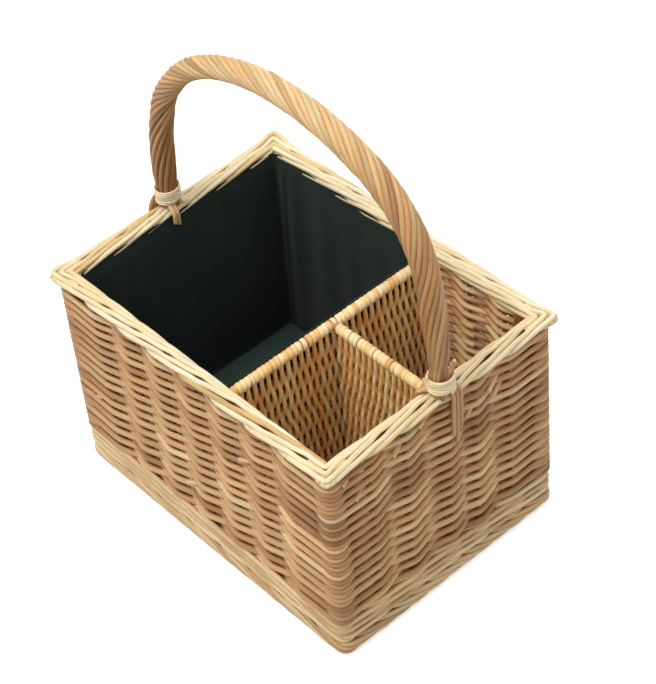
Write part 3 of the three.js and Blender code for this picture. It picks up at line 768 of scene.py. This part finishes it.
def make_divider(name, start, end, toward):
    """A woven panel from start to end. toward is the sign of its side that faces the camera."""
    start, end = np.array(start, float), np.array(end, float)
    length = np.linalg.norm(end - start)
    ahead = (end - start) / length
    side = np.array([-ahead[1], ahead[0]]) * toward
    weave, cross, rail, bands = Rods(), Rods(), Rods(), Rods()
    drift = waves(4, 1, 4, 2.2)
    for z in CROSS_LEVELS:
        t = np.linspace(-ENDS_IN, length + ENDS_IN, 40)
        cross.grow(np.column_stack([start + ahead * t[:, None], z + drift(t / 300)]), CROSS_R, 0.02, 0.35)
    lanes = int(round(length / LANE_PITCH))
    pitch = length / lanes
    sway = waves(4, 1, 5, 1.6)
    top = RAIL_Z - RAIL_BELOW
    heights = np.concatenate([[LANE_FOOT], CROSS_LEVELS, [top]])
    z = np.arange(LANE_FOOT, top, 1.5)
    for lane in range(lanes):
        at = (lane + 0.5) * pitch
        turns = (-1.0) ** (lane + np.arange(len(CROSS_LEVELS))) * LANE_OUT
        offsets = np.concatenate([[0.0], turns, [0.6 * turns[-1]]])
        offset = stepped(z, heights, offsets, lambda t: np.clip((t - 0.06) / 0.88, 0, 1))
        swing = at + sway(z / 260, at) * ease((240 - z) / 60)
        xy = start + ahead * swing[:, None] + side * offset[:, None]
        path = even(np.column_stack([xy, z]), 3.4, 1)
        weave.grow(path, LANE_R * seed.uniform(0.95, 1.05), 0.03, 0.8)
    make_bands(bands, start, ahead, side, length)
    t = np.linspace(-2 * ENDS_IN, length + 2 * ENDS_IN, 40)
    rail.add(np.column_stack([start + ahead * t[:, None], np.full(40, RAIL_Z)]), RAIL_R, tone(0.5), sides=12)
    rail_node = name + "_top_rod"
    weave.build(name + "_weave_rods", DIVIDER_WILLOW_PAINTED_LIGHTER, [name + "_weave"], "divider_willow")
    cross.build(name + "_cross_rods", UPRIGHT_WILLOW, (), "upright_willow")
    rail.build(name + "_rail_rod", UPRIGHT_WILLOW, [rail_node], "rim_willow")
    bands.build(name + "_rail_bands", RAIL_WILLOW_PAINTED_HIGHLIGHT, [rail_node], "rim_willow")


def make_bands(bands, start, ahead, side, length):
    """Flat ends of rods wrapped over a rail one beside the other, each leaning a little."""
    at = 1.5
    while at < length - 2:
        wide = seed.uniform(*BAND_WIDTHS)
        gap = 1.0 if seed.random() < 0.2 else -0.2
        angle = np.radians(np.linspace(*BAND_TURN, 30))
        lean = seed.normal(2.1, 0.5) * np.linspace(-1, 1, 30)
        out = side * np.cos(angle)[:, None]
        around = np.column_stack([out, np.sin(angle)])
        path = np.column_stack([start + ahead * (at + wide / 2 + lean)[:, None], np.full(30, RAIL_Z)])
        bands.add(path + around * seed.uniform(*BAND_AROUND), wide / 2, tone(0.68, 0.3),
                  flat=BAND_THICK / wide, outwards=around)
        at += wide + gap


def make_dividers():
    low, high = span("main_divider_weave")
    make_divider("main_divider", (RAIL_X, low[1]), (RAIL_X, high[1]), -1)
    low, high = span("small_divider_weave")
    make_divider("small_divider", (low[0], 0), (high[0], 0), 1)


# Base: weavers across the basket, over and under the base sticks

STICK_R, BASE_ROD_R, BASE_LANE, BASE_WAVE = 3.3, 2.72, 5.4, 3.4
# Two rods along the base's edge: heights against its middle, and how far inside the stakes' middles
BASE_EDGE_LIFTS, BASE_EDGE_IN = (-2.7, 2.7), 8.4


def make_base():
    sticks = [f"base_stick_{i + 1}" for i in range(5)]
    ys = [middle(name)[1] for name in sticks]
    level = middle(sticks[0])[2]
    for name, y in zip(sticks, ys):
        low, high = span(name)
        rods = Rods()
        rods.grow(np.linspace((low[0], y, level), (high[0], y, level), 60), STICK_R, 0.02, 0.5, sides=12)
        rods.build(name + "_rod", UPRIGHT_WILLOW, [name], "upright_willow")
    weave = Rods()
    low, high = BASE_LOW[0] + 2.5, BASE_HIGH[0] - 2.5
    lanes = int((high - low) / BASE_LANE)
    edge = np.array([BASE_LOW[1] + 2.0] + sorted(ys) + [BASE_HIGH[1] - 2.0])
    y = np.arange(edge[0], edge[-1], 1.5)
    for lane in range(lanes + 1):
        x = low + (high - low) * lane / lanes
        heights = np.array([0.0] + [BASE_WAVE if (i + lane) % 2 else -BASE_WAVE for i in range(5)] + [0.0])
        z = stepped(y, edge, level + heights, lambda t: (1 - np.cos(math.pi * t)) / 2)
        path = columns(x + waves(2, 1, 3, 0.4)(y / 260), y, z)
        weave.grow(even(path, 4.5, 1), BASE_ROD_R, 0.02, 0.45)
    for lift in BASE_EDGE_LIFTS:
        weave.hoop(-LAY_OUT - BASE_EDGE_IN, level + lift, 2.8, 0.4, 0.05)
    weave.build("base_weave_rods", WALL_WILLOW, ["base_weave"], "wall_willow")


# Handle: a bow of twelve rods roped round a core

# The halves of the bow from foot to crown, as shares of the foot's X and of the rise above the rim
LEFT_BOW = [(0.992, 0.241), (0.962, 0.41), (0.899, 0.578), (0.825, 0.676), (0.746, 0.753),
            (0.667, 0.813), (0.573, 0.864), (0.453, 0.916), (0.32, 0.955), (0.183, 0.983)]
RIGHT_BOW = [(1.005, 0.235), (0.988, 0.402), (0.955, 0.58), (0.901, 0.692), (0.818, 0.79),
             (0.705, 0.866), (0.583, 0.916), (0.462, 0.951), (0.322, 0.979), (0.181, 0.996)]
ROPE_RODS = 12
# Along the bow by X: how thick it is against the mean, and how light its rods are. The lightness is mostly
# painted light, lighter at the crown and darker down the legs, and partly the rods' own wear
THICK_AT, THICKNESS = (-190, -150, -85, 0, 120, 190), (1.0, 0.91, 0.9, 0.98, 1.04, 1.0)
TONE_AT, ROPE_TONE_AND_PAINTED_LIGHT = (-190, -160, -60, 60, 150, 190), (0.2, 0.38, 0.7, 0.7, 0.42, 0.28)
# The bow's outer radius, its radius in the bindings, and how much slimmer the near leg and neck are
BOW_R, ROPE_ROD_R = 12.5, 2.62
ROPE_R, NECK_R = BOW_R - ROPE_ROD_R, 11.0 - ROPE_ROD_R
NEAR_LEG_SLIM, NEAR_NECK_SLIM = 0.19, 0.12
# How fast the rods turn about the core, in radians a millimetre, at the crown and at the feet
CROWN_TWIST, FOOT_TWIST = 0.046, 0.012


def bow_line():
    """The bow's middle line from the left foot to the right foot."""
    rise = HANDLE_TOP - BOW_R - RIM_TOP
    feet = [(FOOT_X, z) for z in (252.0, 262.0, 272.0, 282.0)]
    left = [(-x, z) for x, z in feet] + [(-FOOT_X * a, RIM_TOP + rise * b) for a, b in LEFT_BOW]
    right = [(FOOT_X * a, RIM_TOP + rise * b) for a, b in RIGHT_BOW[::-1]] + feet[::-1]
    return even(through(left + [(0.0, RIM_TOP + rise)] + right), 3.0, 6)


def make_handle():
    line = bow_line()
    path = columns(line[:, 0], 0.0, line[:, 1])
    ahead = unit(np.gradient(path, axis=0))
    side = np.array([0.0, 1.0, 0.0])
    out = np.cross(side, ahead)
    along = arc_lengths(path)
    centred = np.abs(along - along[-1] / 2) / (along[-1] / 2)
    rate = CROWN_TWIST - (CROWN_TWIST - FOOT_TWIST) * ease((centred - 0.45) / 0.5)
    turn = np.concatenate([[0], np.cumsum(0.5 * (rate[1:] + rate[:-1]) * np.diff(along))])
    turn -= turn[len(turn) // 2]
    x, _, z = path.T
    grip = NECK_R + (ROPE_R - NECK_R) * ease((z - (BIND_HIGH - 4)) / 26)
    grip *= np.interp(x, THICK_AT, THICKNESS)
    slim = NEAR_LEG_SLIM * ease((RIM_TOP + 100 - z) / 60) + NEAR_NECK_SLIM * np.exp(-((z - 291) / 8) ** 2)
    grip *= 1 - slim * (x > 0)
    # Painted light, with some real wear: the rods are lighter at the crown and darker down the legs.
    light = np.interp(x, TONE_AT, ROPE_TONE_AND_PAINTED_LIGHT)
    rods = Rods()
    for i in range(ROPE_RODS):
        angle = i * 2 * math.pi / ROPE_RODS + turn
        bulge = 1 + 0.03 * waves(3, 2, 9, 1.0)(along / along[-1])
        ring = np.cos(angle)[:, None] * out + np.sin(angle)[:, None] * side
        rod = path + ring * (grip * bulge)[:, None]
        radius = ROPE_ROD_R * (grip / ROPE_R) ** 0.5 * uneven(1.0, len(rod), 0.02)
        rods.add(rod, radius, np.clip(light + seed.normal(0, 0.1), 0, 1), sides=10)
    rods.build("handle_rope_rods", HANDLE_WILLOW, ["handle_rod_wrap"], "handle_willow")
    core = Rods()
    legs = np.array([(STAKE_X, 0.0, z) for z in np.arange(33.0, 236.0, 12.0)])
    line = even(np.concatenate([legs * [-1, 1, 1], path[4:-4], legs[::-1]]), 5.0, 2)
    radius = np.interp(line[:, 2], [33, 236, 262, 300], [1.5, 2.1, 3.0, 6.6])
    core.add(line, radius, 0.3, sides=10)
    core.build("handle_core_rod", UPRIGHT_WILLOW, ["handle_core"], "upright_willow")


# How far each binding stands off its leg's middle, and the cut ends of canes that stick out of it
BINDING_SHIFT = {1: np.array([1.2, 1.6, 0]), -1: np.zeros(3)}
CANE_ENDS = {1: [((190.0, -9.0, 276), (189.4, -11.6, 280), (189.2, -12.2, 284))],
             -1: [((-186, 6.0, 264), (-182.5, 8.6, 262), (-178.0, 9.4, 260.5)),
                  ((-186, 9.0, 264), (-183.0, 11.8, 262), (-178.5, 13.0, 260.0))]}


def make_bindings():
    for side, node, turns in ((1, "handle_binding_right", 5), (-1, "handle_binding_left", 6)):
        rods = Rods()
        low, high = BIND_LOW + 1.6, BIND_HIGH - 1.6
        pitch = (high - low) / turns
        steps = np.linspace(-0.06, turns + 0.06, turns * 36)
        angle = steps * 2 * math.pi + (0.4 if side > 0 else 2.2)
        around = columns(np.cos(angle), np.sin(angle), 0.0)
        radius = 12.4 + 0.25 * np.sin(angle * 1.7) + 0.15 * np.sin(angle * 0.61)
        path = np.array([side * FOOT_X, 0, low]) + BINDING_SHIFT[side] + around * radius[:, None]
        path[:, 2] += steps * pitch + 0.3 * np.sin(angle * 0.83 + 1.0) + 0.3 * np.sin(angle + 0.7)
        rods.add(path, pitch * 0.47, tone(0.8, 0.05), flat=0.85, outwards=around)
        for tail in CANE_ENDS[side]:
            rods.add(even(through(tail), 1.5), 1.5, tone(0.7), sides=8)
        rods.build(node + "_cane", CANE, [node], "cane_binding")


# The rods that hang outside and inside each foot: place along Y and lowest height
OUTER_FOOT_RODS = ((7.6, 190.0), (12.2, 181.0), (16.8, 194.0))
INNER_FOOT_RODS = {1: ((-8.9, 240.0), (-13.2, 243.0)), -1: ((-2.6, 240.0), (-7.0, 243.0))}
# The cut upper ends of the near foot's outer rods, above the binding and in it
UPPER_ENDS = {1: (((200.2, 5.0, 292.2), (199.4, 5.0, 281.0)), ((201.3, 7.4, 294.6), (199.6, 7.8, 281.0)),
                  ((202.4, 10.0, 297.0), (198.9, 9.9, 281.0))), -1: ((), (), ())}


def make_foot_rods():
    """The handle's rod ends: outside down the wall into the weave, and inside down behind the border."""
    rods = Rods()
    for side in (1, -1):
        for (y, low), upper in zip(OUTER_FOOT_RODS, UPPER_ENDS[side]):
            controls = [*upper, (FOOT_X + 7.0, y * 0.55, 270.0), (FOOT_X + 10.0, y * 0.8, 261.0),
                        (201.4, y, 255.0), (201.6, y + 0.4, 248.0), (199.8, y + 1.4, 238.0),
                        (198.6, y + 2.4, 226.0), (196.6, y + 3.0, low + 6), (191.0, y + 3.4, low)]
            path = through(np.array(controls) * [side, side, 1])
            rods.grow(even(path, 3.0, 2), (2.1, 2.3), 0.02, 0.45, 0.08)
        for y, low in INNER_FOOT_RODS[side]:
            controls = [(FOOT_X - 5.0, y * 0.7, 266.0), (FOOT_X - 11.0, y, 260.4), (176.4, y, 256.8),
                        (175.6, y, 251.0), (175.9, y, low)]
            path = through(np.array(controls) * [side, 1, 1])
            rods.grow(even(path, 2.6, 2), (2.2, 2.1), 0.02, 0.6, 0.08)
    end = [(186.0, -9.5, 262.0), (180.0, -5.0, 260.8), (172.5, -0.5, 260.4)]
    rods.add(even(through(end), 2.0), 2.0, tone(0.6, 0.05))
    rods.build("handle_foot_rods", HANDLE_WILLOW, ["handle_rod_wrap"], "handle_willow")


# Cloth

THREAD_PITCH = 1.1


def cotton(name):
    """Plain woven cotton, very dark green: threads both ways, slubs, faint fading, and painted light that
    makes the floor lighter.
    """
    g = Graph(bpy.data.materials.new(name))
    uv = g.make("UVMap", {}, uv_map="cloth").outputs["UV"]
    parts = g.make("SeparateXYZ", {0: uv}).outputs
    warp, weft = (g.math("SINE", g.times(parts[key], 2 * math.pi / (THREAD_PITCH * MM))) for key in "XY")
    weave = g.times(warp, weft)
    slub, cross = (g.noise(g.stretched(uv, scale)) for scale in ((900, 60, 0), (60, 900, 0)))
    fade = g.noise(g.stretched(uv, (9, 9, 0)), detail=3.0)
    threads = g.plus(g.times(g.plus(slub, cross), 0.5), g.times(weave, 0.12))
    level = g.plus(g.times(threads, 0.6), g.times(fade, 0.4))
    colour = g.ramp(g.between(level, 0.3, 0.72), "121e1a 192722 22342d")
    # Painted light: the lining's floor is painted lighter, where light falls on it from above.
    colour = g.mix(g.times(g.attribute("floor_painted_light"), 0.45), colour, linear("4b625a"))
    normal = g.bump(g.plus(g.times(weave, 0.5), threads), 0.0004, 0.6)
    return g.finish(colour, g.between(threads, 0.3, 0.7, 0.86, 0.97), normal,
                    Specular_IOR_Level=0.2, Sheen_Weight=0.1, Sheen_Roughness=0.5)


LINER_TOP, LINER_TUCK, LINER_IN, LINER_CORNER = 251.0, 238.0, 1.2, 9.0
LINER_MIDDLE = ((LINER_LOW + LINER_HIGH) / 2)[:2]
LINER_AROUND, LINER_UP, LINER_RINGS = 420, 70, 40
CLOTH_THICKNESS = 0.9
# Folds: the corner they are near, the distance past it, width and depth. They are deepest half way up.
FOLDS = ((2, -9, 4, 2.8), (2, -24, 9, 2.4), (2, 22, 11, 1.4), (2, 58, 15, 2.2), (2, -66, 16, 2.0),
         (1, 30, 12, 2.6), (3, -30, 12, 2.4), (0, 34, 13, 2.2), (3, 60, 18, 1.8), (1, -40, 12, 1.6))


def liner_walls(line, run, heights):
    """The rows of points up the lining's walls."""
    slack, slack_fine = waves(7, 3, 11, 1.5), waves(6, 10, 26, 0.7)
    share_round = run / line.length
    for share, z in zip(np.linspace(0, 1, len(heights)), heights):
        body = math.sin(math.pi * min(1, share * 1.04)) ** 0.6
        inward = 1.6 + (slack(share_round, z) + slack_fine(share_round, z) + 1.4) * body
        for corner, past, width, depth in FOLDS:
            gap = run - line.corners[corner] - past + line.length / 2 + 0.05 * (z - 130)
            gap = gap % line.length - line.length / 2
            inward = inward + depth * np.exp(-(gap / width) ** 2) * (0.35 + 0.65 * body)
        tucked = ease((z - LINER_TUCK) / 11)
        inward = np.maximum(inward * (1 - tucked), 0.2) - 1.6 * tucked
        yield line.at(run, -inward - ease(1 - (z - heights[0]) / 12) * 2.0, z)


def liner_floor(edge, share_round, bottom):
    """Rings of points that shrink from the walls' lowest row to the middle of the floor."""
    bump = waves(6, 2, 9, 1.0)
    for i in range(1, LINER_RINGS + 1):
        xy = (edge[:, :2] - LINER_MIDDLE) * (1 - i / LINER_RINGS * 0.985) + LINER_MIDDLE
        lift = 0.6 * np.sin(xy[:, 0] * 0.05 + 1) * np.cos(xy[:, 1] * 0.043 + 0.5) + 0.35 * bump(share_round)
        puff = 1.4 * ease(i / 6) * (1 + 0.6 * lift) * (1 - ease((i - 30) / 10) * 0.4)
        yield np.column_stack([xy, bottom + 0.4 + 1.6 * (1 - ease(i / 5)) + puff])


def make_liner():
    bottom = LINER_LOW[2] + LINER_IN
    half_x, half_y = ((LINER_HIGH - LINER_LOW) / 2)[:2] - LINER_IN
    line = Loop(half_x - LINER_CORNER, half_y - LINER_CORNER, LINER_CORNER)
    around = LINER_AROUND
    run = np.arange(around) / around * line.length
    heights = np.linspace(bottom + 2, LINER_TOP, LINER_UP)
    points = [row + [*LINER_MIDDLE, 0] for row in liner_walls(line, run, heights)]
    floor = list(liner_floor(points[0], run / line.length, bottom))
    grid = np.concatenate([np.array(floor)[::-1], points])
    rows = len(grid)
    verts = grid.reshape(-1, 3)
    i, j = np.indices((rows - 1, around)).reshape(2, -1)
    corners = [((i + a) * around + (j + b) % around, i + a, j + b) for b, a in QUAD]
    faces = columns(*(vert for vert, _, _ in corners))
    mesh = bpy.data.meshes.new("compartment_lining")
    mesh.from_pydata((verts * MM).tolist(), [], faces.tolist() + [list(range(around))])
    # Painted light: 1 on the floor's rows, which the cloth paints lighter.
    floor_painted_light = mesh.attributes.new("floor_painted_light", "FLOAT", "POINT")
    floor_painted_light.data.foreach_set("value", np.repeat(np.arange(rows) < len(floor), around).astype(np.float32))
    wall = np.concatenate([np.zeros(len(floor)), heights - heights[0]])
    uv = []
    for vert, row, place_round in corners:
        side = columns(place_round / around * line.length, wall[row] + 400)
        uv.append(np.where((row < len(floor))[:, None], verts[vert][:, :2], side))
    uv = np.concatenate([np.stack(uv, axis=1).reshape(-1, 2), verts[:around, :2]]) * MM
    mesh.uv_layers.new(name="cloth").uv.foreach_set("vector", uv.astype(np.float32).ravel())
    mesh.shade_smooth()
    piece = place("compartment_lining", mesh, cotton("green cotton"), ["compartment_liner"])
    thicken = piece.modifiers.new("thickness", "SOLIDIFY")
    thicken.thickness, thicken.offset = CLOTH_THICKNESS * MM, 0.0


# Stage, light and camera

FLOOR_HALF = 6.0
# The floor's own brightness where it is seen, its added glow there, and its brightness for other rays
FLOOR_SEEN, FLOOR_GLOW, FLOOR_BOUNCED = 0.8, 0.5, 0.4
HORIZON_LIGHT, ZENITH_LIGHT, SKY_COLOUR = 0.32, 1.18, (1.0, 0.985, 0.96, 1)
SUN_LIGHT, SUN_COLOUR, SUN_SPREAD = 1.38, (1.0, 0.975, 0.93), math.radians(20)
SUN_FROM = (-0.06, -0.46, 1.0)


def make_stage():
    mesh = bpy.data.meshes.new("floor")
    mesh.from_pydata([(FLOOR_HALF * x, FLOOR_HALF * y, 0) for x, y in CORNER_SIGNS], [], [(0, 1, 2, 3)])
    floor = in_scene("floor", mesh)
    g = Graph(bpy.data.materials.new("floor white"))
    seen, bounced = (g.make("BsdfDiffuse", {"Color": (level, level, level, 1)})
                     for level in (FLOOR_SEEN, FLOOR_BOUNCED))
    glow = g.make("Emission", {"Strength": FLOOR_GLOW})
    both = g.make("AddShader", {0: seen.outputs[0], 1: glow.outputs[0]})
    mesh.materials.append(g.close(g.for_background(bounced, both)))

    g = Graph(bpy.data.worlds.new("studio"), "OutputWorld")
    place_at = g.make("TexCoord", {}).outputs["Generated"]
    height = g.make("SeparateXYZ", {0: place_at}).outputs["Z"]
    strength = g.between(height, 0.0, 1.0, HORIZON_LIGHT, ZENITH_LIGHT, "LINEAR")
    light = g.make("Background", {"Color": SKY_COLOUR, "Strength": strength})
    seen = g.make("Background", {"Color": (1, 1, 1, 1)})
    bpy.context.scene.world = g.close(g.for_background(light, seen))

    lamp = bpy.data.lights.new("key", "SUN")
    lamp.energy, lamp.angle, lamp.color = SUN_LIGHT, SUN_SPREAD, SUN_COLOUR
    in_scene("key", lamp).rotation_euler = Vector(SUN_FROM).to_track_quat("Z", "Y").to_euler()


def make_camera():
    """The photograph's camera: where it stands, how it is turned and how its frame is shifted."""
    azimuth, elevation, roll = (math.radians(v) for v in (52.498, 45.400, -6.461))
    distance, focal, frame_high, shift = 2.2347, 2255.417, 684, (18.991, 51.252)
    target = Vector((0, 0, 0.12))
    back = Vector((math.sin(azimuth) * math.cos(elevation), -math.cos(azimuth) * math.cos(elevation),
                   math.sin(elevation)))
    right = (-back).cross(Vector((0, 0, 1))).normalized()
    up = right.cross(-back)
    turned = math.cos(roll) * right + math.sin(roll) * up
    raised = -math.sin(roll) * right + math.cos(roll) * up
    data = bpy.data.cameras.new("camera")
    data.sensor_width = 36
    data.lens = focal * 36 / frame_high
    data.shift_x, data.shift_y = (pixels / frame_high for pixels in shift)
    camera = in_scene("camera", data)
    rotation = Matrix((turned, raised, back)).transposed().to_4x4()
    camera.matrix_world = Matrix.Translation(target + back * distance) @ rotation
    bpy.context.scene.camera = camera
    bpy.context.scene.view_settings.view_transform = "Standard"


make_camera()
make_stage()
make_uprights()
make_walls()
make_foot()
make_border()
make_dividers()
make_base()
make_handle()
make_bindings()
make_foot_rods()
make_liner()
